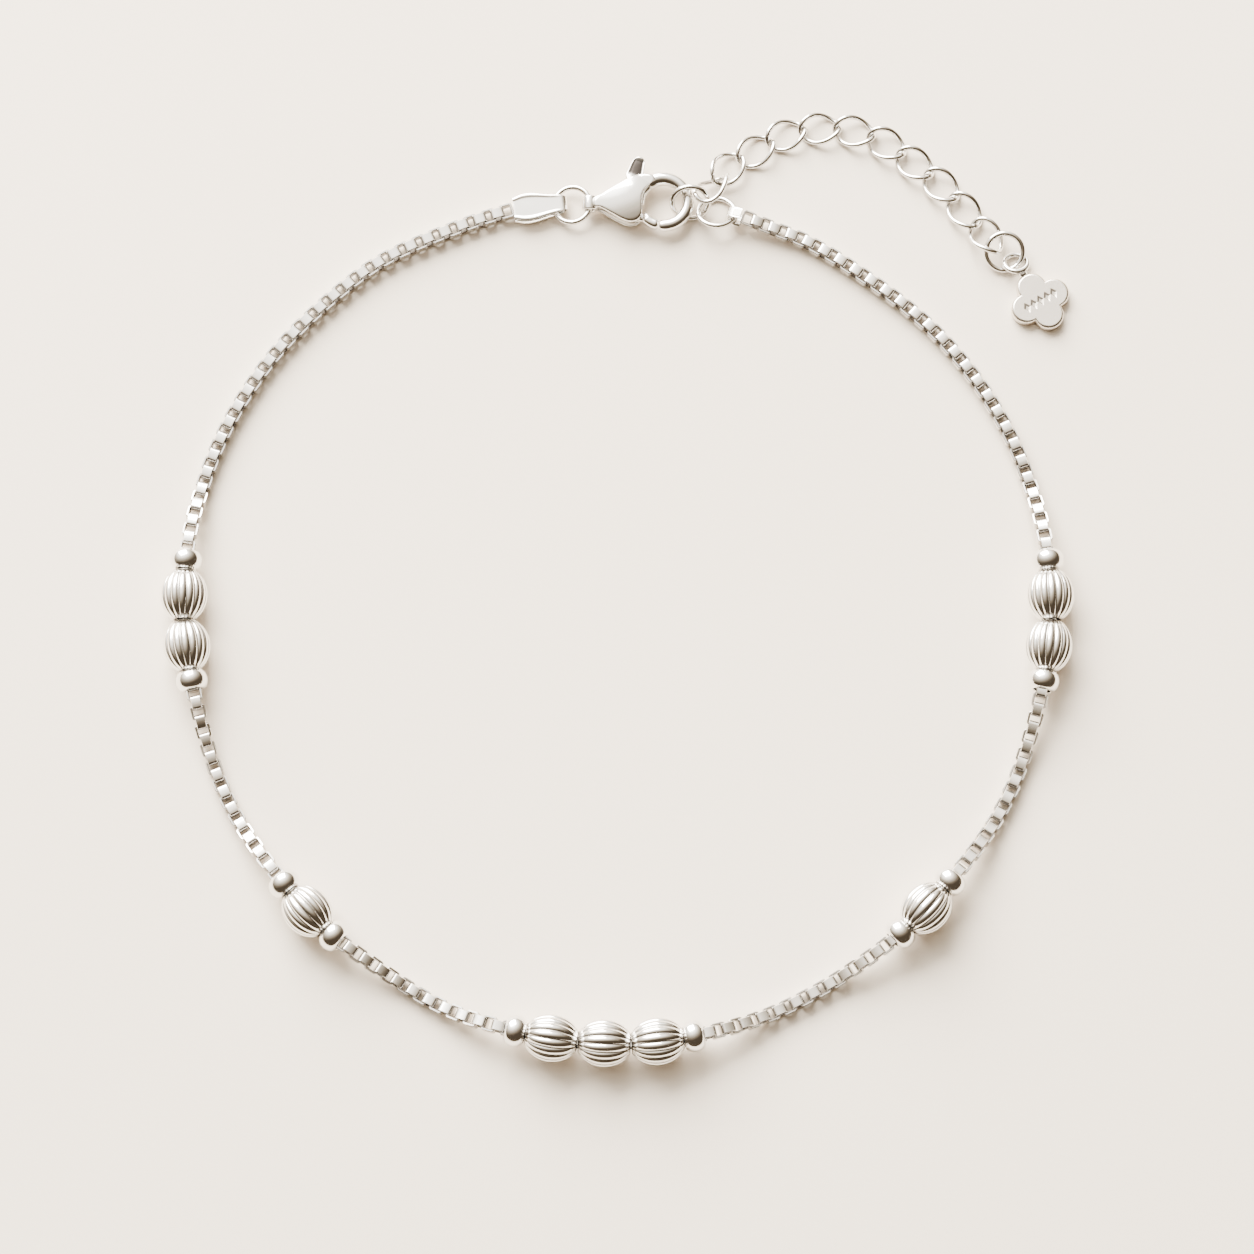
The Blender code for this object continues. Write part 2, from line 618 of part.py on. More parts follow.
def clasp_lever():
    """The sprung lever: a sheet that turns on the pin, its thumb tab past the body's upper edge and its thicker gate
    arm, which closes the hook. Its origin is on the pin's axis."""
    hook = (HOOK_X - PIVOT_X, HOOK_Y - PIVOT_Y)
    hook_inner = HOOK_RADIUS - HOOK_WIDTH
    reach = TAB_HEIGHT - PIVOT_Y
    arm = [(x * LEVER_ARM, y * reach) for x, y in (*ARM_INNER, *reversed(ARM_OUTER))]
    lever = adopt(flat_solid(arm, LEVER_SHEET), "clasp_lever", PARTS, CLASP_SILVER)
    boss = cutter(cylinder(BOSS_RADIUS, LEVER_SHEET, (0.0, 0.0, 0.0), 20), "lever_boss")
    root_end = GATE_INNER * 1.23
    root = [(0.0, -BOSS_RADIUS * 0.9), (root_end, -GATE_INNER * 0.73), (root_end, -GATE_INNER * 0.23)]
    root = cutter(flat_solid([*root, (0.0, BOSS_RADIUS * 0.7)], LEVER_SHEET), "lever_root")

    gate = cutter(cylinder(HOOK_RADIUS, HOOK_THICKNESS, (*hook, 0.0), 40), "gate")
    gate_tools = [
        (cylinder(hook_inner, CLASP_THICKNESS, (*hook, 0.0), 32), "gate_hole", "DIFFERENCE"),
        (cylinder(SEAM_RADIUS - LEVER_CLEARANCE / 2, CLASP_THICKNESS, (0.0, 0.0, 0.0), 48), "gate_seam", "INTERSECT"),
        (cylinder(GATE_INNER, CLASP_THICKNESS, (0.0, 0.0, 0.0), 32), "gate_heel", "DIFFERENCE"),
    ]
    side = SEAM_RADIUS * 1.5
    low = flat_solid([(0.0, -side), (side, -side), (side, 0.0), (0.0, 0.0)], CLASP_THICKNESS)
    gate_tools.append((low, "gate_low", "INTERSECT"))
    tools = [boss, root, gate]
    for thing, name, operation in gate_tools:
        tool = cutter(thing, name)
        combine(gate, tool, operation)
        tools.append(tool)
    round_edges(gate, HOOK_ROUNDING / 2, 1)
    bore = cutter(cylinder(PIN_RADIUS + LEVER_CLEARANCE, CLASP_THICKNESS, (0.0, 0.0, 0.0), 16), "lever_bore")
    for tool in (boss, root, gate):
        combine(lever, tool, "UNION")
    combine(lever, bore, "DIFFERENCE")
    for tool in (lever, bore, *tools):
        tool.matrix_world = Matrix.Translation(CLASP_EYE + Vector((PIVOT_X, PIVOT_Y, 0.0))) @ tool.matrix_world
    smooth(lever, 35.0)


def link_points():
    """A curb link's centre line: an oval whose ends are turned against each other about its long axis."""
    half_length, half_width = LINK_LENGTH / 2 - LINK_WIRE, LINK_WIDTH / 2 - LINK_WIRE
    points = []
    for i in range(LINK_POINTS):
        a = 2 * math.pi * (i + 0.5) / LINK_POINTS
        turn = math.radians(LINK_TWIST) * math.cos(a)
        side = half_width * math.sin(a)
        points.append((half_length * math.cos(a), side * math.cos(turn), side * math.sin(turn)))
    return points


def extender():
    """The extender's links, from the clasp's ring to its own end ring, and the frame of the last one. Those next to
    a ring lean on it, and the others lie on the surface along their route."""
    pitch = LINK_LENGTH - 4 * LINK_WIRE - LINK_SLACK
    lie = LINK_WIRE + LIE_GAP + max(abs(z) for _x, _y, z in link_points())
    middle = CLASP_RING.translation
    line = Route([Vector((middle.x + x, middle.y + y, lie)) for x, y in EXTENDER_ROUTE[1:]])
    mesh = mesh_of(link_object())
    for i in range(LINK_COUNT):
        place = line.at((i - 1) * pitch)
        frame = frame_of(place, line.along((i - 1) * pitch), (0, 0, 1))
        if i == 0:
            place = Vector((middle.x + EXTENDER_ROUTE[0][0], middle.y + EXTENDER_ROUTE[0][1], 0.0))
        if i in LEANING_LINKS:
            height, heading, slope, roll = LEANING_LINKS[i]
            frame = Matrix.Translation((place.x, place.y, height))
            for degrees, axis in ((heading, "Z"), (-slope, "Y"), (roll, "X")):
                frame = frame @ Matrix.Rotation(math.radians(degrees), 4, axis)
        link = adopt(mesh, f"extender_link_{i + 1:02d}", PARTS, CHAIN_SILVER)
        link.matrix_world = frame
    mesh.shade_smooth()
    return frame


def link_object():
    """A curb link as a closed wire."""
    link = wire_curve("curb_link", link_points(), LINK_WIRE, True, 6)
    bpy.context.scene.collection.objects.link(link)
    return link


def end_ring(last_link):
    """The extender's end ring, which leans on the last link and dips through the tag's eye."""
    centre = last_link.translation + Vector(END_RING_WAY) * (LINK_LENGTH / 2 + RING_RADIUS - END_RING_LAP)
    centre.z = resting_height(RING_RADIUS, RING_WIRE, END_RING_TILT) + END_RING_LIFT
    frame = leaning(centre, END_RING_TILT)
    ring("extender_ring", frame)
    return frame


def clover_tag(ring_frame):
    """The four-leaved tag, with its eye soldered to one leaf. Its underside is flat on the surface."""
    eye = ring_frame.translation + Vector(TAG_EYE_WAY) * (RING_RADIUS + TAG_EYE_RADIUS - TAG_EYE_LAP)
    eye.z = resting_height(TAG_EYE_RADIUS, TAG_EYE_WIRE, TAG_EYE_TILT)
    centre = eye + Vector((*turned((0.0, -TAG_EYE_REACH), TAG_TURN), 0.0))
    centre.z = TAG_THICKNESS / 2
    frame = Matrix.Translation(centre) @ Matrix.Rotation(math.radians(TAG_TURN), 4, "Z")
    outline = []
    corner = math.degrees(math.acos(TAG_LOBE_OFFSET * math.sin(math.radians(45)) / TAG_LOBE_RADIUS))
    for leaf in range(4):
        a = math.radians(90 * leaf)
        middle = (TAG_LOBE_OFFSET * math.cos(a), TAG_LOBE_OFFSET * math.sin(a))
        sweep = 135 - corner
        outline += on_circle(middle, TAG_LOBE_RADIUS, 90 * leaf - sweep, 90 * leaf + sweep, 10)[:-1]
    tag = adopt(flat_solid(outline, TAG_THICKNESS), "clover_tag", PARTS, TAG_SILVER)
    round_edges(tag, TAG_ROUNDING, 1)
    solder_place = (TAG_LOBE_OFFSET + TAG_LOBE_RADIUS + TAG_EYE_REACH - TAG_EYE_RADIUS) / 2
    solder = cutter(cylinder(SOLDER_RADIUS, TAG_THICKNESS * 0.8, (0.0, 0.0, 0.0), 12), "tag_solder")
    solder_rise = SOLDER_TOP - TAG_THICKNESS * 0.9
    solder.matrix_world = frame @ Matrix.Translation((0.0, solder_place, solder_rise))
    eye_ring = cutter(ring("tag_eye", leaning(eye, TAG_EYE_TILT), TAG_EYE_RADIUS, TAG_EYE_WIRE, GUIDES), "tag_eye")
    tag.matrix_world = frame
    combine(tag, solder, "UNION")
    combine(tag, eye_ring, "UNION")
    smooth(tag, 35.0)


def stand_on_origin():
    """Moves everything so that the middle of its footprint is the origin."""
    bpy.context.view_layer.update()
    depsgraph = bpy.context.evaluated_depsgraph_get()
    corners = []
    for thing in PARTS.objects:
        seen = thing.evaluated_get(depsgraph)
        mesh = seen.to_mesh()
        corners += [seen.matrix_world @ vertex.co for vertex in mesh.vertices]
        seen.to_mesh_clear()
    middle = Vector([(min(c[i] for c in corners) + max(c[i] for c in corners)) / 2 for i in range(3)])
    middle.z = min(c.z for c in corners)
    centre = bpy.data.objects.new("anklet_centre", None)
    PARTS.objects.link(centre)
    for thing in [*PARTS.objects, *GUIDES.objects]:
        if thing != centre:
            thing.parent = centre
    centre.location = -middle


chain_line = lay_chain()
box_chain(chain_line)
string_beads(chain_line)
left_end_cap()
right_end_cap()
ring("jump_ring_left", LEFT_RING)
ring("clasp_ring", CLASP_RING)
ring("chain_ring", CHAIN_RING)
clasp_body()
clasp_lever()
last_frame = extender()
end_frame = end_ring(last_frame)
clover_tag(end_frame)
stand_on_origin()
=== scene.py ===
"""A polished silver anklet on a pale surface: fluted beads on a box chain, closed by a lobster clasp, with an
extender that ends in a four-leaved tag. Metres, +Z up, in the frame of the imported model."""

import json
import math

import bpy
import numpy as np
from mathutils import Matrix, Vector


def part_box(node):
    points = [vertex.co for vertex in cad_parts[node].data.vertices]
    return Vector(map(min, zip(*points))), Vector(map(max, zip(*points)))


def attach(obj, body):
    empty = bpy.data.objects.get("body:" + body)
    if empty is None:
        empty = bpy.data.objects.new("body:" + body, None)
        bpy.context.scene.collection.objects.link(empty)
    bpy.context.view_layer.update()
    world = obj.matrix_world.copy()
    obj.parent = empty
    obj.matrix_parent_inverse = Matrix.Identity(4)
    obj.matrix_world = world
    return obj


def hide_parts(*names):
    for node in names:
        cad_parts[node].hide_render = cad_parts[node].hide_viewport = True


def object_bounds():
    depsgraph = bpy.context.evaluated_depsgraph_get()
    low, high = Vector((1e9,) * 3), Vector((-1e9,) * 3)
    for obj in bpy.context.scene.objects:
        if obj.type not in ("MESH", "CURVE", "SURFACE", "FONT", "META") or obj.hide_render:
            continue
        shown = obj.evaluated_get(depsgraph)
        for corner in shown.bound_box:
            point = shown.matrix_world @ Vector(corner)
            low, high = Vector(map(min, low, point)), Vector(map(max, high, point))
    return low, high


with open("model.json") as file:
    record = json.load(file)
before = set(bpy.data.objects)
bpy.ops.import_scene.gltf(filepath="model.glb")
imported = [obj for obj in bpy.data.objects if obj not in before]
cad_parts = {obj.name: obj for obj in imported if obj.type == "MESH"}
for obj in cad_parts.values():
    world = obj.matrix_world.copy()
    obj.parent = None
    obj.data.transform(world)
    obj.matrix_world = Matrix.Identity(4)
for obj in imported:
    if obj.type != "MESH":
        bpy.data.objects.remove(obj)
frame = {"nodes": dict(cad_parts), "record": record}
cad_box = [list(corner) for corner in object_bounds()]
nodes = frame["nodes"]

# Setting
# The anklet lies on a smooth pale board under one large soft lamp from the upper left, in a dim warm room. The camera
# looks down on it, nearly straight from above, from the side of the three front beads.
LOOK_AT = Vector((0.00072, -0.00390, 0.0))
CAMERA_DISTANCE = 0.450
CAMERA_TILT = math.radians(13.6)
FIELD_OF_VIEW = math.radians(13.5)
WINDOW_WAY = (-0.31, 0.68, 0.665)
LAMP_WAY = (-0.34, 0.76, 0.553)
LAMP_DISTANCE = 0.70
LAMP_SIZE = 0.56
LAMP_POWER = 35.0
LAMP_COLOUR = (1.0, 0.95, 0.86)
SHADE = (0.09, 0.066, 0.042)
ROOM_TONES = [
    (0.0, SHADE), (0.12, SHADE), (0.34, (0.27, 0.21, 0.145)), (0.55, (0.74, 0.63, 0.48)), (0.70, (1.5, 1.33, 1.08)),
    (0.80, (2.9, 2.68, 2.35)), (0.88, (3.6, 3.4, 3.05)), (0.945, (9.0, 8.8, 8.3)), (1.0, (10.0, 9.8, 9.3)),
]
BOARD_SIDE = 3.0
BOARD_DARK = (0.86, 0.757, 0.638)
BOARD_LIGHT = (0.885, 0.79, 0.682)
BOARD_CLOUDS = 14.0
BOARD_TOOTH = 2600.0
BOARD_TOOTH_DEEP = 0.00001
BOARD_DULL = 0.7


class Value:
    """A shader socket, whose operators add the Math node of the same meaning."""

    def __init__(self, paint, socket):
        self.paint = paint
        self.socket = socket

    def maths(self, operation, first, second):
        return self.paint.node("ShaderNodeMath", {"operation": operation}, {0: first, 1: second})

    def __add__(self, other):
        return self.maths("ADD", self, other)

    def __radd__(self, other):
        return self.maths("ADD", other, self)

    def __mul__(self, other):
        return self.maths("MULTIPLY", self, other)

    def __rmul__(self, other):
        return self.maths("MULTIPLY", other, self)


class Paint:
    """A node tree under construction."""

    def __init__(self, owner):
        owner.use_nodes = True
        self.tree = owner.node_tree

    def node(self, kind, settings=None, values=None, out=0):
        """A node of one kind: its settings first, a ramp's stops in rising order among them, then its sockets'
        values or links."""
        made = self.tree.nodes.new(kind)
        for name, setting in (settings or {}).items():
            if name == "stops":
                for place, _colour in setting[1:-1]:
                    made.color_ramp.elements.new(place)
                for element, (_place, colour) in zip(made.color_ramp.elements, setting):
                    element.color = (*colour, 1.0)
            else:
                setattr(made, name, setting)
        for name, value in (values or {}).items():
            if isinstance(value, Value):
                self.tree.links.new(value.socket, made.inputs[name])
            else:
                made.inputs[name].default_value = value
        return Value(self, made.outputs[out])

    def feed(self, name, value):
        """Gives a socket of the tree's own shader a value or a link."""
        shader = next(n for n in self.tree.nodes if n.type in ("BSDF_PRINCIPLED", "BACKGROUND"))
        if isinstance(value, Value):
            self.tree.links.new(value.socket, shader.inputs[name])
        else:
            shader.inputs[name].default_value = value

    def noise(self, scale, detail=2.0):
        """Even noise in the piece's own space, its scale in features to the metre."""
        place = self.node("ShaderNodeTexCoord", out=3)
        return self.node("ShaderNodeTexNoise", None, {"Vector": place, "Scale": scale, "Detail": detail})

    def between(self, factor, first, second):
        """A colour between two, by a factor."""
        colours = {0: factor, 6: (*first, 1.0), 7: (*second, 1.0)}
        return self.node("ShaderNodeMix", {"data_type": "RGBA"}, colours, out=2)

    def bump(self, height, distance):
        """The normal of a relief, its full depth in metres."""
        return self.node("ShaderNodeBump", None, {"Height": height, "Strength": 1.0, "Distance": distance})


def board_paint():
    """Matt off-white card: a faint cloudiness of tone and a fine tooth."""
    material = bpy.data.materials.new("pale_board")
    paint = Paint(material)
    paint.feed("Base Color", paint.between(paint.noise(BOARD_CLOUDS), BOARD_DARK, BOARD_LIGHT))
    paint.feed("Roughness", BOARD_DULL)
    paint.feed("Normal", paint.bump(paint.noise(BOARD_TOOTH), BOARD_TOOTH_DEEP))
    return material


bpy.ops.mesh.primitive_plane_add(size=BOARD_SIDE, location=(0.0, 0.0, cad_box[0][2]))
board = bpy.context.object
board.name = "board"
board.data.materials.append(board_paint())

world = bpy.context.scene.world or bpy.data.worlds.new("room")
bpy.context.scene.world = world
room = Paint(world)
direction = room.node("ShaderNodeTexCoord", out=0)
way_settings = {"operation": "DOT_PRODUCT"}
towards_window = room.node("ShaderNodeVectorMath", way_settings, {0: direction, 1: WINDOW_WAY}, 1)
room.feed("Color", room.node("ShaderNodeValToRGB", {"stops": ROOM_TONES}, {0: towards_window}))
room.feed("Strength", 1.0)

light = bpy.data.lights.new("window", "AREA")
light.size = LAMP_SIZE
light.energy = LAMP_POWER
light.color = LAMP_COLOUR
lamp = bpy.data.objects.new("window", light)
lamp.location = LAMP_DISTANCE * Vector(LAMP_WAY)
lamp.rotation_euler = (LOOK_AT - lamp.location).to_track_quat("-Z", "Y").to_euler()
bpy.context.scene.collection.objects.link(lamp)

camera = bpy.data.objects.new("camera", bpy.data.cameras.new("camera"))
camera.data.angle = FIELD_OF_VIEW
camera.data.clip_start = 0.01
away = Vector((0.0, -math.sin(CAMERA_TILT), math.cos(CAMERA_TILT)))
camera.location = LOOK_AT + away * CAMERA_DISTANCE
camera.rotation_euler = (CAMERA_TILT, 0.0, 0.0)
bpy.context.scene.collection.objects.link(camera)
bpy.context.scene.camera = camera

# Box chain
# A box chain of sterling silver: each link is a flat strip bent into a square frame, and every next one is turned a
# quarter round the chain. Its end links are soldered into the two end caps.
LINK_PITCH = 0.00080
STRIP = 0.00020
LINK_LONG = LINK_PITCH + 2 * STRIP
LINK_HIGH = 0.00130
STRIP_WIDE = 0.00084
CORNER = 0.00015
STRIP_EDGE = 0.00004
TUCK_START = 0.56
TUCK_FADE = 0.06
WINDOW_DARK = 0.76
SHARP_EDGE = 38.0
SILVER = (0.96, 0.945, 0.92)
# Tone of the painted shade in hollows and under wires, a little of it tarnish.
SHADE_AND_TARNISH = (0.17, 0.14, 0.11)
SHADE_AND_TARNISH_SPOTS = 420.0
GLOSS_SPOTS = 900.0
GLOSS_SPREAD = 0.07
TARNISH_DULL = 0.18
HAIRLINES = 5200.0


def silver_paint(name, colour=SILVER, polish=0.07, hairline=0.0000025, shade=SHADE_AND_TARNISH):
    """Polished silver: hairline unevenness in gloss and form, and a painted brown-grey shade, with a little tarnish,
    where the piece's own shade attribute says that a hollow or an underside is; the gloss is duller there too."""
    material = bpy.data.materials.new(name)
    paint = Paint(material)
    # Painted shade: the base colour turns brown-grey where the piece's own attribute is high, only a little of it
    # tarnish.
    hollow = paint.node("ShaderNodeAttribute", {"attribute_name": "recess"}, out=2)
    tone = paint.noise(SHADE_AND_TARNISH_SPOTS, 3.0)
    paint.feed("Base Color", paint.between(hollow * (0.75 + 0.25 * tone), colour, shade))
    paint.feed("Roughness", polish + GLOSS_SPREAD * paint.noise(GLOSS_SPOTS, 4.0) + TARNISH_DULL * hollow)
    paint.feed("Metallic", 1.0)
    paint.feed("Normal", paint.bump(paint.noise(HAIRLINES, 3.0), hairline))
    return material


def skin(name, points, material, around=True, ends=False, hollow=None, sharp=None):
    """A mesh over copies of a grid: points is (copies, rows, columns, 3), and each face joins four neighbours.
    Columns close round each row. With around, the last row joins the first; with ends, a fan closes each end to its
    middle. The sum of each face's corner products tells which way the faces point, and they are turned outwards."""
    points = np.asarray(points, float)
    if points.ndim == 3:
        points = points[None]
    copies, rows, columns, _three = points.shape
    row = np.arange(rows if around else rows - 1)
    column = np.arange(columns)
    a, b = np.meshgrid(row, column, indexing="ij")
    below, beside = (a + 1) % rows, (b + 1) % columns
    quads = np.stack([a * columns + b, a * columns + beside, below * columns + beside, below * columns + b], -1)
    quads = quads.reshape(-1, 4)
    size = rows * columns + (2 if ends else 0)
    flat = points.reshape(copies, rows * columns, 3)
    faces = [quads]
    if ends:
        flat = np.concatenate([flat, points[:, 0].mean(1)[:, None], points[:, -1].mean(1)[:, None]], 1)
        last = (rows - 1) * columns
        following = (column + 1) % columns
        faces.append(np.stack([following, column, np.full(columns, size - 2)], -1))
        faces.append(np.stack([last + column, last + following, np.full(columns, size - 1)], -1))
    volume = 0.0
    for part in [quads[:, [0, 2, 3]], *[part[:, :3] for part in faces]]:
        corner = flat[0][part]
        volume += np.einsum("ij,ij->i", corner[:, 0], np.cross(corner[:, 1], corner[:, 2])).sum()
    if volume < 0:
        faces = [part[:, ::-1] for part in faces]
    listed = []
    for copy in range(copies):
        for part in faces:
            listed += (part + copy * size).tolist()
    mesh = bpy.data.meshes.new(name)
    mesh.from_pydata(flat.reshape(-1, 3).tolist(), [], listed)
    mesh.shade_smooth()
    if sharp:
        mesh.set_sharp_from_angle(angle=math.radians(sharp))
    depth = np.zeros((copies, size), np.float32)
    if hollow is not None:
        depth[:, : rows * columns] = np.broadcast_to(hollow, (copies, rows, columns)).reshape(copies, -1)
    mesh.attributes.new("recess", "FLOAT", "POINT").data.foreach_set("value", depth.ravel())
    mesh.materials.append(material)
    piece = bpy.data.objects.new(name, mesh)
    bpy.context.scene.collection.objects.link(piece)
    return piece


def settle(piece, slot, *replaced, body="root"):
    """Says which body the piece rides on and the nodes that it stands for, which it hides; its finish, slot, is not
    used.
    """
    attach(piece, body)
    if replaced:
        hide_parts(*replaced)


def corners(node):
    """A node's corners, each once."""
    mesh = nodes[node].data
    places = np.empty(len(mesh.vertices) * 3)
    mesh.vertices.foreach_get("co", places)
    return np.unique(np.round(places.reshape(-1, 3), 7), axis=0)


def unit(vectors):
    """Vectors divided by their length."""
    return vectors / np.linalg.norm(vectors, axis=-1, keepdims=True)


def chain_line():
    """The middle of the chain's tube: its corners in order round the loop, eight to a ring, each ring's mean."""
    places = corners("box_chain")
    middle = (places.min(0) + places.max(0)) / 2
    turn = (np.arctan2(places[:, 1] - middle[1], places[:, 0] - middle[0]) - math.pi / 2) % (2 * math.pi)
    return places[np.argsort(turn)].reshape(-1, 8, 3).mean(1)


def smooth_line(points, marks):
    """Points at lengths along a line: a cubic through four neighbours at each, as arrays."""
    reach = np.concatenate([[0.0], np.cumsum(np.linalg.norm(np.diff(points, axis=0), axis=1))])
    share = np.interp(marks, reach, np.arange(len(points)))
    low = np.clip(share.astype(int), 0, len(points) - 2)
    t = (share - low)[:, None]
    padded = np.concatenate([2 * points[:1] - points[1:2], points, 2 * points[-1:] - points[-2:-1]])
    before, start, end, after = (padded[low + i] for i in range(4))
    bend = 2 * before - 5 * start + 4 * end - after
    return 0.5 * (2 * start + (end - before) * t + bend * t**2 + (3 * start - before - 3 * end + after) * t**3)


def rounded_box(long, high, radius, count):
    """A rectangle's outline with round corners: a quarter circle of count points at each."""
    turn = np.concatenate([np.linspace(q, q + 1, count) * math.pi / 2 for q in range(4)])
    side_x = np.repeat([1, -1, -1, 1], count) * (long / 2 - radius)
    side_y = np.repeat([1, 1, -1, -1], count) * (high / 2 - radius)
    return np.stack([side_x + radius * np.cos(turn), side_y + radius * np.sin(turn)], -1)


def box_link():
    """One link about the origin, long along X: a flat section carried round a rounded rectangle. The section has its
    thickness towards the middle and its width across."""
    outer = rounded_box(LINK_LONG - STRIP, LINK_HIGH - STRIP, CORNER, 4)
    normal = unit(np.roll(outer, -1, 0) - np.roll(outer, 1, 0))[:, ::-1] * [1, -1]
    section = rounded_box(STRIP, STRIP_WIDE, STRIP_EDGE, 2)
    flat = outer[:, None] + normal[:, None] * section[None, :, :1]
    return np.concatenate([flat, np.broadcast_to(section[None, :, 1:], (*flat.shape[:2], 1))], -1)


line = chain_line()
line_length = np.linalg.norm(np.diff(line, axis=0), axis=1).sum()
link_count = int(line_length / LINK_PITCH)
marks = (np.arange(link_count) + 0.5) * line_length / link_count
middles = smooth_line(line, marks)
STEP = 0.0001
ways = unit(smooth_line(line, marks + STEP) - smooth_line(line, marks - STEP))
across = unit(np.cross([0.0, 0.0, 1.0], ways))
upward = np.cross(ways, across)
turns = np.arange(link_count) % 2 * math.pi / 2
turned_y = across * np.cos(turns)[:, None] + upward * np.sin(turns)[:, None]
turned_z = upward * np.cos(turns)[:, None] - across * np.sin(turns)[:, None]
one = box_link()
axes = np.stack([ways, turned_y, turned_z], 1)
links = middles[:, None, None] + np.einsum("ijk,nkl->nijl", one, axes)
# Painted shade: the strip's inner faces and the link ends tucked into the next link are darkened.
inside = np.tile(rounded_box(STRIP, STRIP_WIDE, STRIP_EDGE, 2)[:, 0] < 0, (len(one), 1))
tucked = np.clip((np.abs(one[..., 0]) / LINK_PITCH - TUCK_START) / TUCK_FADE, 0.0, 1.0)
shadowed = np.maximum(inside, tucked) * WINDOW_DARK
chain_silver = silver_paint("chain_silver", polish=0.10)
settle(skin("chain_links", links, chain_silver, hollow=shadowed, sharp=SHARP_EDGE), "chain_silver", "box_chain")

# Fluted beads
# Hollow oval beads pressed from thin silver, with sixteen ribs that run from hole to hole. Each rib is polished
# bright, and the flutes between them and the lips round the holes get a painted shade, with a little dark tarnish.
BEAD_RADIUS = 0.0020
BEAD_OVAL = 0.0024
BEAD_HALF = 0.0022
BEAD_RIBS = 16
FLUTE = 0.00018
BEAD_HOLE = 0.00074
BEAD_LIP = 0.00082
LIP_EDGE = 0.00004
LIP_STEP = 0.00001
LIP_DEEP = 0.00008
LIP_SHADE = 0.00020
RIB_COLUMNS = 10
RIB_FULLNESS = 0.6
FLUTE_FADE = 0.5
FLUTE_BRIGHT = 0.3
BEAD_ROWS = 33


def turned_about(node, profile, columns, relief=None):
    """A closed profile of (radius, along) turned about the chain's line at a node's middle. A relief takes each
    row's and column's share off the radius."""
    low, high = (np.array(corner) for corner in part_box(node))
    middle = (low + high) / 2
    near = int(np.argmin(np.linalg.norm(middles - middle, axis=1)))
    way, side, up = ways[near], across[near], upward[near]
    turn = np.arange(columns) * 2 * math.pi / columns
    radius = np.repeat(profile[:, :1], columns, 1)
    if relief is not None:
        radius = radius - relief
    ring = np.cos(turn)[None, :, None] * side + np.sin(turn)[None, :, None] * up
    return middle + radius[..., None] * ring + profile[:, 1][:, None, None] * way


def bead_profile(rows):
    """An oval's side from lip to lip, then back through the hole: radius and place along the bead."""
    end = math.acos(BEAD_LIP / BEAD_RADIUS)
    turn = np.linspace(end, -end, rows)
    side = np.stack([BEAD_RADIUS * np.cos(turn), BEAD_OVAL * np.sin(turn)], -1)
    lip = np.array([(BEAD_HOLE, BEAD_HALF - LIP_DEEP), (BEAD_HOLE + LIP_EDGE, BEAD_HALF - LIP_STEP)])
    back = np.linspace(-0.95, 0.95, 6)
    hole = np.stack([np.full(6, BEAD_HOLE), BEAD_HALF * back], -1)
    return np.concatenate([lip, side, lip[::-1] * [1, -1], hole])


bead_columns = BEAD_RIBS * RIB_COLUMNS
profile = bead_profile(BEAD_ROWS)
rib = np.abs(np.cos(np.arange(bead_columns) * math.pi / RIB_COLUMNS)) ** RIB_FULLNESS
groove = (1.0 - rib)[None, :]
fade = np.clip((profile[:, 0] - BEAD_LIP) / (BEAD_RADIUS - BEAD_LIP), 0.0, 1.0)[:, None] ** FLUTE_FADE
bead_relief = FLUTE * groove * fade
# Painted shade in the flutes and at the lips round the holes, with a little tarnish.
near_lip = np.clip((BEAD_LIP + LIP_SHADE - profile[:, :1]) / LIP_SHADE, 0.0, 1.0)
bead_shade = np.clip(groove - FLUTE_BRIGHT, 0.0, 1.0) * fade + near_lip
bead_silver = silver_paint("bead_silver", polish=0.06)
for node in sorted(nodes):
    if node.startswith("bead_"):
        shape = turned_about(node, profile, bead_columns, bead_relief)
        settle(skin(node + "_fluted", shape, bead_silver, hollow=bead_shade), "bead_silver", node)

# Spacers
# Plain rondelles between the beads and the chain, turned from silver rod and polished all over. Each has a rounded
# belly, whose side is nearly half an ellipse, and a straight hole for the chain.
SPACER_RADIUS = 0.00135
SPACER_HALF = 0.00087
BELLY_POWER = 0.95
SHOULDER_POWER = 1.05
turn = np.linspace(math.pi / 2, -math.pi / 2, 27)
belly = (SPACER_RADIUS - BEAD_HOLE) * np.clip(np.cos(turn), 0, 1) ** BELLY_POWER
shoulder = SPACER_HALF * np.sign(turn) * np.abs(np.sin(turn)) ** SHOULDER_POWER
outer = np.stack([BEAD_HOLE + belly, shoulder], -1)
inner = np.stack([np.full(4, BEAD_HOLE), np.linspace(-0.9, 0.9, 4) * SPACER_HALF], -1)
spacer_silver = silver_paint("spacer_silver", polish=0.10)
for node in sorted(nodes):
    if node.startswith("rondelle_"):
        shape = turned_about(node, np.concatenate([outer, inner]), 48)
        settle(skin(node + "_round", shape, spacer_silver), "bead_silver", node)

# Jump rings
# Rings of round silver wire, soldered shut, that join the clasp, the end caps, the extender and its tag. The wire is
# bright on top and has a painted shade below, with a duller gloss there.
CAD_WIRE_SIDES = 6
FULLER_RING = 0.00003
FULLER_WIRE = 0.00004
# How the painted shade under a wire grows and fades.
UNDERSIDE_SHADE_MOST = 0.75
UNDERSIDE_SHADE_FROM = 0.42
UNDERSIDE_SHADE_FADE = 0.45
RING_POINTS = 72


def lie_of(node):
    """A ring's or link's middle and axes, the longest first: the directions in which its corners spread most."""
    places = corners(node)
    middle = places.mean(0)
    spread, directions = np.linalg.eigh(np.cov((places - middle).T))
    axes = directions.T[::-1].copy()
    axes[2] = np.cross(axes[0], axes[1])
    return middle, axes, places


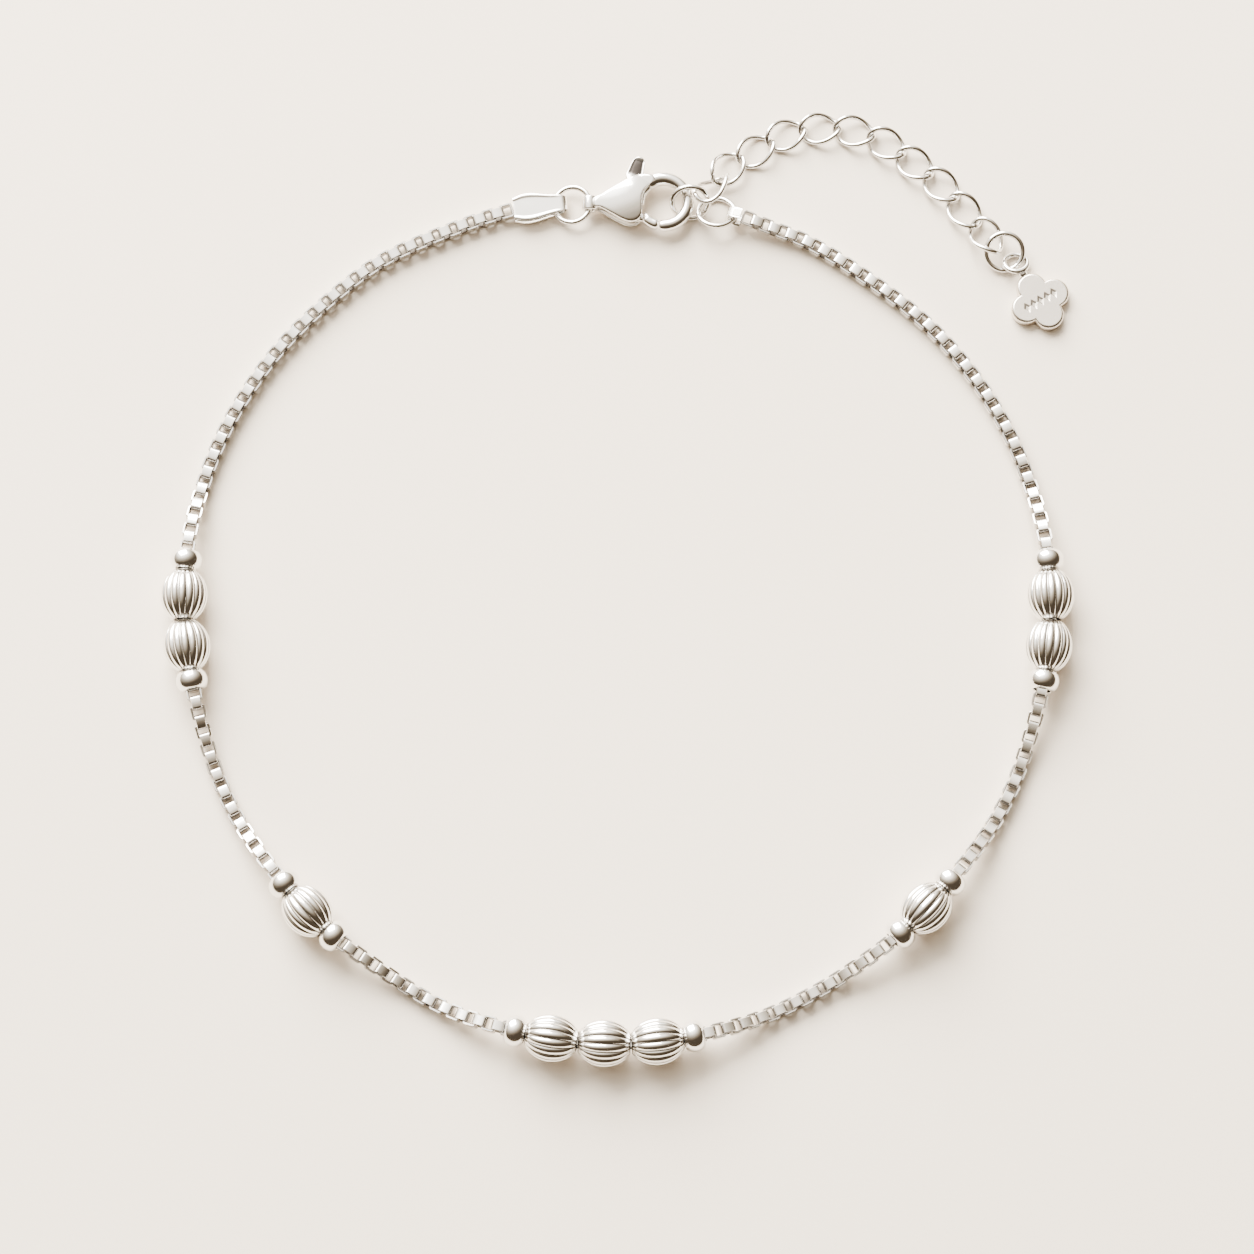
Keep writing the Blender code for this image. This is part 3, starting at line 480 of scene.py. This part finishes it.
def wire_round(path, wire, columns):
    """A round wire carried along a closed path: at each point a circle across the path's direction."""
    way = unit(np.roll(path, -1, 0) - np.roll(path, 1, 0))
    side = unit(np.cross(way, path - path.mean(0)))
    out = np.cross(side, way)
    turn = np.arange(columns) * 2 * math.pi / columns
    return path[:, None] + wire * (
        np.cos(turn)[None, :, None] * out[:, None] + np.sin(turn)[None, :, None] * side[:, None]
    )


def underside_shade(surface):
    """A wire's painted shade, with a duller gloss: none on top, and from a set facing on, more the less its surface
    faces up.
    """
    facing = unit(surface - surface.mean(1, keepdims=True))[..., 2]
    return UNDERSIDE_SHADE_MOST * np.clip((UNDERSIDE_SHADE_FROM - facing) / UNDERSIDE_SHADE_FADE, 0.0, 1.0)


def ring_surface(middle, axes, radius, wire):
    """A torus: a wire round a circle."""
    turn = np.arange(RING_POINTS) * 2 * math.pi / RING_POINTS
    circle = np.stack([np.cos(turn), np.sin(turn), 0 * turn], -1) * radius
    return wire_round(middle + circle @ axes, wire, 16)


ring_silver = silver_paint("ring_silver", polish=0.05)
for node in ("jump_ring_left", "clasp_ring", "chain_ring", "extender_ring"):
    middle, axes, places = lie_of(node)
    wire = np.abs((places - middle) @ axes[2]).max() / math.sin(2 * math.pi / CAD_WIRE_SIDES)
    radius = np.linalg.norm((places - middle) @ axes[:2].T, axis=1).max() - wire
    shape = ring_surface(middle, axes, radius + FULLER_RING, wire + FULLER_WIRE)
    # Painted shade on the wire's underside, with a duller gloss there.
    settle(skin(node + "_wire", shape, ring_silver, hollow=underside_shade(shape)), "ring_silver", node)

# Extender links
# Curb links of round silver wire: ovals bent and soldered by machine, whose ends are then twisted against each other
# so that the chain lies flat.
CURB_LONG = 0.0039
CURB_WIDE = 0.00295
CURB_WIRE = 0.00021
CURB_TWIST = math.radians(-38.0)
turn = np.arange(RING_POINTS) * 2 * math.pi / RING_POINTS
twist = CURB_TWIST * np.cos(turn)
side = (CURB_WIDE / 2 - CURB_WIRE) * np.sin(turn)
curb = np.stack([(CURB_LONG / 2 - CURB_WIRE) * np.cos(turn), side * np.cos(twist), side * np.sin(twist)], -1)
for node in sorted(nodes):
    if node.startswith("extender_link"):
        middle, axes, _places = lie_of(node)
        shape = wire_round(middle + curb @ axes, CURB_WIRE, 14)
        # Painted shade on the wire's underside, with a duller gloss there.
        settle(skin(node + "_wire", shape, chain_silver, hollow=underside_shade(shape)), "chain_silver", node)

# End caps
# Strips of silver sheet folded over a jump ring, the two leaves soldered on either side of the chain's last link. The
# left one is a long pod with a pressed rim, the right one a short plain fold.
CAP_SHEET = 0.00022
CAP_FOLD = 0.00046
CHAIN_GAP = 0.00025
POD_LONG = 0.00415
POD_RIM = 0.00006
POD_WIDTHS = [
    (0.0, 0.00078), (0.0003, 0.00106), (0.0011, 0.0012), (0.0019, 0.00114), (0.0027, 0.00094), (0.0034, 0.00080),
    (0.0040, 0.00074), (0.0044, 0.00064), (0.0047, 0.00046),
]
SHORT_LONG = 0.00075
SHORT_RIM = 0.00003
SHORT_WIDTHS = [(-0.0002, 0.00052), (0.0004, 0.00057), (0.0012, 0.00050)]
CAP_EDGE = 0.00005
CAP_EDGE_ANGLE = math.radians(50)
RIM_PLACE = 0.88
RIM_WIDE = 0.09
LEFT_TURN = math.radians(7.5)
RIGHT_TURN = math.radians(-16.0)
RIGHT_TILT = math.radians(-24.0)
cap_silver = silver_paint("cap_silver", polish=0.17)


def folded_strip(name, mouth, way, up, long, widths, rim):
    """A strip along a U: from one leaf's mouth, round a half circle at long, back along the other leaf. Its half
    width follows a table of (place along, half width), and a low ridge, rim high, runs along both edges of a leaf."""
    fold = np.linspace(-math.pi / 2, math.pi / 2, 15)
    leaf = np.linspace(0.0, long, 26)
    along = np.concatenate([leaf[:-1], long + CAP_FOLD * np.cos(fold), leaf[-2::-1]])
    height = np.concatenate([np.full(25, -1.0), np.sin(fold), np.full(25, 1.0)])
    table = np.array(widths)
    half = np.interp(along, table[:, 0], table[:, 1])
    half = np.convolve(np.pad(half, 3, "edge"), np.ones(7) / 7, "valid")
    cross = np.linspace(-1.0, 1.0, 31)
    side = np.cross(up, way)
    ridge = np.exp(-(((np.abs(cross) - RIM_PLACE) / RIM_WIDE) ** 2))
    bulge = rim * ridge[None, :] * np.sign(np.round(height, 3))[:, None]
    bulge = bulge * np.clip(1 - (along / long) ** 6, 0, 1)[:, None]
    place = (
        mouth
        + along[:, None, None] * way
        + (half[:, None] * cross[None, :])[..., None] * side
        + (CAP_FOLD * height[:, None] + bulge)[..., None] * up
    )
    rows, columns, _three = place.shape
    a, b = np.meshgrid(np.arange(rows - 1), np.arange(columns - 1), indexing="ij")
    quads = np.stack([a * columns + b, a * columns + b + 1, (a + 1) * columns + b + 1, (a + 1) * columns + b], -1)
    mesh = bpy.data.meshes.new(name)
    mesh.from_pydata(place.reshape(-1, 3).tolist(), [], quads.reshape(-1, 4).tolist())
    mesh.attributes.new("recess", "FLOAT", "POINT")
    mesh.shade_smooth()
    mesh.materials.append(cap_silver)
    piece = bpy.data.objects.new(name, mesh)
    bpy.context.scene.collection.objects.link(piece)
    wall = piece.modifiers.new("wall", "SOLIDIFY")
    wall.thickness = CAP_SHEET
    wall.offset = 0.0
    edge = piece.modifiers.new("edge", "BEVEL")
    edge.width = CAP_EDGE
    edge.segments = 2
    edge.limit_method = "ANGLE"
    edge.angle_limit = CAP_EDGE_ANGLE
    return piece


left_way = np.array([math.cos(LEFT_TURN), math.sin(LEFT_TURN), 0.0])
mouth = line[0] + left_way * CHAIN_GAP
pod = folded_strip("pod_cap", mouth, left_way, np.array([0.0, 0.0, 1.0]), POD_LONG, POD_WIDTHS, POD_RIM)
settle(pod, "clasp_silver", "end_cap_left")
level = math.sin(RIGHT_TURN)
right_way = -np.array([math.cos(RIGHT_TURN), level * math.cos(RIGHT_TILT), level * math.sin(RIGHT_TILT)])
right_up = np.array([0.0, -math.sin(RIGHT_TILT), math.cos(RIGHT_TILT)])
mouth = line[-1] + right_way * CHAIN_GAP
fold = folded_strip("fold_cap", mouth, right_way, right_up, SHORT_LONG, SHORT_WIDTHS, SHORT_RIM)
settle(fold, "clasp_silver", "end_cap_right")

# Lobster clasp
# One silver casting, tumbled bright: two domed cheeks with the lever's slot between them, a round hook that grows out
# of their upper corner, and a barrel eye at the tail. The lever turns on a pin through the cheeks: its thumb tab
# stands out above them and its gate arm closes the hook.
PIVOT = np.array(frame["record"]["behaviour"]["joints"][0]["pos_m"])
TAIL = PIVOT - [0.00344, -0.00107, 0.0]
HOOK = np.array([0.00635, 0.00015, 0.0])
HOOK_MIDDLE = 0.00212
HOOK_HALF_WIDE = 0.00053
HOOK_HALF_THICK = 0.00056
SLOT_HALF = 0.00050
CHEEK_TOP = 0.00118
CHEEK_EDGE = 0.00080
CHEEK_LONG_BEND = 0.0090
CHEEK_CROSS_BEND = 0.0068
CHEEK_ROLL = [0.00001, 0.00004, 0.00009, 0.00016, 0.00026]
HOOK_START = 130.0
HOOK_END = -99.5
HOOK_SWELL = [(0.0, 1.25), (0.18, 1.15), (0.5, 1.0), (1.0, 1.0)]
RIM_INSET = 0.00025
RIM_HALF_THICK = 0.00066
NECK = np.array([(0.55, 0.0, 0.0), (0.85, 0.02, 0.0), (1.2, 0.02, 0.0), (1.6, 0.0, 0.0)]) * 0.001
NECK_LONG = 0.00105
NECK_WIDE = [(0.0, 0.00034), (0.3, 0.00044), (1.0, 0.00064)]
NECK_HALF_THICK = 0.00056
TAIL_WALL = 0.00034
TAIL_LONG = 0.00122
TAIL_RADIUS = 0.00052
TAIL_CORNER = 0.00012
PIN = np.array([(0.00001, 0.00080), (0.00020, 0.00079), (0.00026, 0.00074), (0.00026, -0.00074),
                (0.00020, -0.00079), (0.00001, -0.00080)])
GATE_START = -103.5
GATE_END = -138.0
GATE_ROOT = np.array([(4.15, -1.20, 0.0), (3.44, -1.07, 0.0)]) * 0.001
GATE_WIDE = [(0.0, 0.00047), (0.5, 0.00046), (0.75, 0.00032), (1.0, 0.00045)]
GATE_THICK = [(0.0, 0.00055), (0.42, 0.00052), (0.58, 0.00033), (1.0, 0.00033)]
TAB_SPINE = np.array([
    (3.44, -1.20, 0.0), (3.50, 0.40, 0.0), (3.62, 1.60, 0.0), (3.78, 2.35, 0.0), (3.97, 2.90, 0.0), (4.12, 3.45, 0.0),
    (4.30, 3.98, 0.0), (4.38, 4.24, 0.0),
]) * 0.001
TAB_WIDE = [(0.0, 0.00050), (0.5, 0.00044), (0.66, 0.00074), (0.77, 0.00069), (0.87, 0.00060), (0.96, 0.00048),
            (1.0, 0.00039)]
TAB_THICK = [(0.0, 0.00033), (0.6, 0.00033), (0.85, 0.00026), (1.0, 0.00020)]
SCOOP_DEEP = 0.00016
SCOOP_START = 0.62
SCOOP_END = 0.985
SCOOP_SHADE = 1.15
# Tone of the painted shade in the tab's scoop.
TAB_PAINTED_SHADE = (0.035, 0.03, 0.027)
CHEEK = np.array([
    (0.35, -0.36), (0.90, -0.56), (1.90, -1.15), (2.75, -1.62), (3.40, -1.83), (4.00, -1.74), (4.38, -1.40),
    (4.50, -0.90), (4.50, -0.20), (4.53, 0.45), (4.78, 1.12), (5.20, 1.60), (5.62, 1.98), (5.45, 2.40), (5.00, 2.52),
    (4.40, 2.50), (3.60, 2.26), (2.60, 1.64), (1.50, 0.98), (0.90, 0.60), (0.35, 0.36),
]) * 0.001
CHEEK_MIDDLE = np.array([0.0031, 0.0003])


def closed_curve(points, count):
    """Points along a smooth closed line through the given ones."""
    around = np.concatenate([points[-3:], points, points[:4]])
    reach = np.concatenate([[0.0], np.cumsum(np.linalg.norm(np.diff(around, axis=0), axis=1))])
    marks = np.linspace(reach[3], reach[3 + len(points)], count + 1)[:-1]
    return smooth_line(around, marks)


def cheek(side):
    """One cheek: its outline drawn in towards its middle in rows. The outer face is a shallow bowl turned over, whose
    height falls with the square of the distance from the middle, slower along than across, and rolls off at the
    edge. The inner face is flat along the slot. The cheek below has a worn flat where it lies on the table."""
    rim = closed_curve(CHEEK, 150)
    domed = np.linspace(0.05, 0.94, 18)
    share = np.concatenate([domed, [0.97, 0.99, 1.0, 1.0, 0.99, 0.97, 0.5]])
    rolled = len(domed) - 1
    flange = rolled + len(CHEEK_ROLL)
    flat = CHEEK_MIDDLE + share[:, None, None] * (rim - CHEEK_MIDDLE)
    off = flat - CHEEK_MIDDLE
    bowl = CHEEK_TOP - off[..., 0] ** 2 / (2 * CHEEK_LONG_BEND) - off[..., 1] ** 2 / (2 * CHEEK_CROSS_BEND)
    drop = np.zeros(len(share))
    drop[rolled:flange] = CHEEK_ROLL
    height = np.maximum(bowl - drop[:, None], CHEEK_EDGE - 0.8 * drop[:, None])
    if side < 0:
        height = np.minimum(height, PIVOT[2])
    height[flange] = SLOT_HALF + 0.00002
    height[flange + 1 :] = SLOT_HALF
    return TAIL + np.concatenate([flat, height[..., None] * side], -1)


def bar(path, wide, thick, columns, square=2.6):
    """A bar carried along a flat path: at each point a superellipse, its half width across the path in the plane and
    its half thickness upright."""
    way = unit(np.gradient(path, axis=0))
    side = np.stack([-way[:, 1], way[:, 0], 0 * way[:, 0]], -1)
    turn = np.arange(columns) * 2 * math.pi / columns
    bend = lambda wave: np.sign(wave) * np.abs(wave) ** (2 / square)
    out = (wide[:, None] * bend(np.cos(turn)))[..., None] * side[:, None]
    return TAIL + path[:, None] + out + (thick[:, None] * bend(np.sin(turn)))[..., None] * [0.0, 0.0, 1.0]


def along_table(table, count):
    """Values read off a table of (share, value) at even shares from 0 to 1."""
    shares, values = zip(*table)
    return np.interp(np.linspace(0, 1, count), shares, values)


def tapered(count, start, end):
    """Shares of a bar's size along it, rounded off over its first and last few rows."""
    share = np.ones(count)
    round_off = np.sqrt(1 - (1 - np.linspace(0.08, 1.0, 6)) ** 2)
    if start:
        share[:6] = 1 - start * (1 - round_off)
    if end:
        share[-6:] = 1 - end * (1 - round_off[::-1])
    return share


def arc_of(centre, radius, start, stop, count):
    """Points round a centre in the plane, from one angle in degrees to another."""
    turn = np.radians(np.linspace(start, stop, count))
    return centre + radius * np.stack([np.cos(turn), np.sin(turn), 0 * turn], -1)


clasp_silver = silver_paint("clasp_silver", polish=0.05)
settle(skin("clasp_cheek_front", cheek(1), clasp_silver, around=False, ends=True), "clasp_silver", "clasp_body")
settle(skin("clasp_cheek_back", cheek(-1), clasp_silver, around=False, ends=True), "clasp_silver", "clasp_body")

count = 90
swell = along_table(HOOK_SWELL, count) * tapered(count, 0, 0.35)
path = arc_of(HOOK, HOOK_MIDDLE, HOOK_START, HOOK_END, count)
shape = bar(path, HOOK_HALF_WIDE * swell, HOOK_HALF_THICK * swell, 28, 2.1)
settle(skin("clasp_hook", shape, clasp_silver, around=False, ends=True), "clasp_silver", "clasp_body")

count = 24
path = arc_of(HOOK, HOOK_MIDDLE - RIM_INSET, 190.0, 134.0, count)
wide = np.linspace(0.00028, 0.00040, count) * tapered(count, 0.5, 0)
shape = bar(path, wide, np.full(count, RIM_HALF_THICK), 24, 2.4)
settle(skin("clasp_hook_rim", shape, clasp_silver, around=False, ends=True), "clasp_silver", "clasp_body")

count = 14
path = smooth_line(NECK, np.linspace(0.0, NECK_LONG, count))
shape = bar(path, along_table(NECK_WIDE, count), np.full(count, NECK_HALF_THICK), 24, 3.0)
settle(skin("clasp_neck", shape, clasp_silver, around=False, ends=True), "clasp_silver", "clasp_body")

barrel = rounded_box(TAIL_WALL, TAIL_LONG, TAIL_CORNER, 5)
turn = np.arange(40) * 2 * math.pi / 40
radius = TAIL_RADIUS + barrel[:, :1]
length = np.broadcast_to(barrel[:, 1:], (len(barrel), len(turn)))
shape = np.stack([radius * np.cos(turn), length, radius * np.sin(turn)], -1)
settle(skin("clasp_eye", TAIL + shape, clasp_silver), "clasp_silver", "clasp_body")

turn = np.arange(24) * 2 * math.pi / 24
length = np.broadcast_to(PIN[:, 1:], (len(PIN), len(turn)))
shape = np.stack([PIN[:, :1] * np.cos(turn), PIN[:, :1] * np.sin(turn), length], -1)
settle(skin("clasp_pin", PIVOT + shape, clasp_silver, around=False, ends=True), "clasp_silver", "clasp_body")

count = 48
gate = np.concatenate([arc_of(HOOK, HOOK_MIDDLE, GATE_START, GATE_END, 24), GATE_ROOT])
gate = smooth_line(gate, np.linspace(0.0, np.linalg.norm(np.diff(gate, axis=0), axis=1).sum(), count))
wide = along_table(GATE_WIDE, count) * tapered(count, 0.3, 0.5)
thick = along_table(GATE_THICK, count) * tapered(count, 0.3, 0)
shape = bar(gate, wide, thick, 28, 2.4)
settle(skin("clasp_gate", shape, clasp_silver, around=False, ends=True), "clasp_silver", "clasp_lever", body="lever")

count = 60
reach = np.linalg.norm(np.diff(TAB_SPINE, axis=0), axis=1).sum()
spine = smooth_line(TAB_SPINE, np.linspace(0.0, reach, count))
share = np.linspace(0, 1, count)
wide = along_table(TAB_WIDE, count)
thick = along_table(TAB_THICK, count)
shape = bar(spine, wide * tapered(count, 0.8, 0.95), thick * tapered(count, 0.8, 0.6), 36, 3.2)
offset = shape - (TAIL + spine)[:, None]
dish = np.clip((share - SCOOP_START) / 0.08, 0, 1) * np.clip((SCOOP_END - share) / 0.05, 0, 1)
across_share = np.linalg.norm(offset[..., :2], axis=-1) / wide[:, None]
scoop = dish[:, None] * np.clip((1.0 - across_share) / 0.30, 0, 1) * (offset[..., 2] > 0)
shape[..., 2] -= SCOOP_DEEP * scoop
# The scoop gets a painted shade, darker than on the other pieces.
tab_silver = silver_paint("tab_silver", polish=0.05, shade=TAB_PAINTED_SHADE)
tab = skin("clasp_tab", shape, tab_silver, around=False, ends=True, hollow=SCOOP_SHADE * scoop)
settle(tab, "clasp_silver", "clasp_lever", body="lever")

# Tag
# A four-leaved tag stamped from thick silver sheet: a satin face, a bright bevel all round, and a row of small
# engraved lozenges across its middle. Its eye is a wire ring soldered to one leaf.
LEAF_RADIUS = 0.00129
LEAF_PLACE = 0.00140
TAG_THICK = 0.0010
TAG_TURN = math.radians(30.5)
EYE_REACH = 0.0040
EYE_RADIUS = 0.00100
EYE_WIRE = 0.00023
EYE_TILT = math.radians(-27.0)
LOZENGE_PITCH = 0.00066
LOZENGE_DEEP = 0.00007
LOZENGE_HALF_WIDE = 0.00023
LOZENGE_HALF_HIGH = 0.00038
LOZENGE_COUNT = 5
LOZENGE_SHADE = 0.55
EDGE_INSET = np.array([0.00012, 0.00003, 0.0, 0.0, 0.00003, 0.00010, 0.00020])
EDGE_LEVEL = np.array([0.0, 0.00003, 0.00012, 0.00076, 0.00086, 0.00094, 0.00100])
SATIN_SILVER = (0.75, 0.70, 0.635)
SATIN_POLISH = 0.22
SATIN_GRAIN = 0.000006
SOLDER_RADII = (0.00040, 0.00034, 0.00042)
SOLDER_LEVEL = 0.00062
EYE_GAP = 0.00002
tag_middle = np.array(frame["record"]["mounts"][0]["pos_m"])
tag_along = np.array([math.cos(TAG_TURN), math.sin(TAG_TURN), 0.0])
tag_up = np.array([-math.sin(TAG_TURN), math.cos(TAG_TURN), 0.0])

turn = np.arange(300) * 2 * math.pi / 300
off_leaf = (turn + math.pi / 4) % (math.pi / 2) - math.pi / 4
leaf = LEAF_PLACE * np.cos(off_leaf) + np.sqrt(LEAF_RADIUS**2 - (LEAF_PLACE * np.sin(off_leaf)) ** 2)
face = np.linspace(0.97, 0.01, 56)
radius = np.concatenate([
    leaf * np.array([[0.02], [0.5]]),
    leaf - EDGE_INSET[:, None],
    (leaf - EDGE_INSET[-1]) * face[:, None],
])
height = np.concatenate([[0.0, 0.0], EDGE_LEVEL, np.full(len(face), TAG_THICK)])
x, y = radius * np.cos(turn), radius * np.sin(turn)
cell = np.abs(((x / LOZENGE_PITCH) + 0.5) % 1.0 - 0.5) * LOZENGE_PITCH
cut = np.clip(1.35 - (cell / LOZENGE_HALF_WIDE + np.abs(y) / LOZENGE_HALF_HIGH), 0, 1)
cut = cut * (np.abs(x) < LOZENGE_COUNT / 2 * LOZENGE_PITCH)
cut = np.where(height[:, None] >= TAG_THICK, np.minimum(cut * 1.4, 1.0), 0.0)
lift = height[:, None] - LOZENGE_DEEP * cut
shape = tag_middle + x[..., None] * tag_along + y[..., None] * tag_up + lift[..., None] * [0.0, 0.0, 1.0]
tag_silver = silver_paint("tag_silver", colour=SATIN_SILVER, polish=SATIN_POLISH, hairline=SATIN_GRAIN)
tag = skin("tag_plate", shape, tag_silver, around=False, ends=True, hollow=cut * LOZENGE_SHADE, sharp=42.0)
settle(tag, "tag_silver", "clover_tag")

eye_middle = tag_middle + tag_up * EYE_REACH
eye_middle[2] = EYE_WIRE + EYE_GAP + EYE_RADIUS * abs(math.sin(EYE_TILT))
eye_axes = np.array([[1.0, 0.0, 0.0], [0.0, math.cos(EYE_TILT), math.sin(EYE_TILT)],
                     [0.0, -math.sin(EYE_TILT), math.cos(EYE_TILT)]])
shape = ring_surface(eye_middle, eye_axes, EYE_RADIUS, EYE_WIRE)
# Painted shade on the wire's underside, with a duller gloss there.
settle(skin("tag_eye", shape, ring_silver, hollow=underside_shade(shape)), "tag_silver", "clover_tag")

solder_middle = tag_middle + tag_up * (LEAF_PLACE + LEAF_RADIUS + EYE_REACH - EYE_RADIUS) / 2
solder_middle[2] += SOLDER_LEVEL
level = np.linspace(-0.5 * math.pi, 0.5 * math.pi, 17)[1:-1, None]
turn = np.arange(32) * 2 * math.pi / 32
ball = np.stack([np.cos(level) * np.cos(turn), np.cos(level) * np.sin(turn), np.sin(level) + 0 * turn], -1)
shape = solder_middle + (ball * SOLDER_RADII) @ np.array([tag_along, tag_up, [0.0, 0.0, 1.0]])
settle(skin("tag_solder", shape, ring_silver, around=False, ends=True), "tag_silver", "clover_tag")
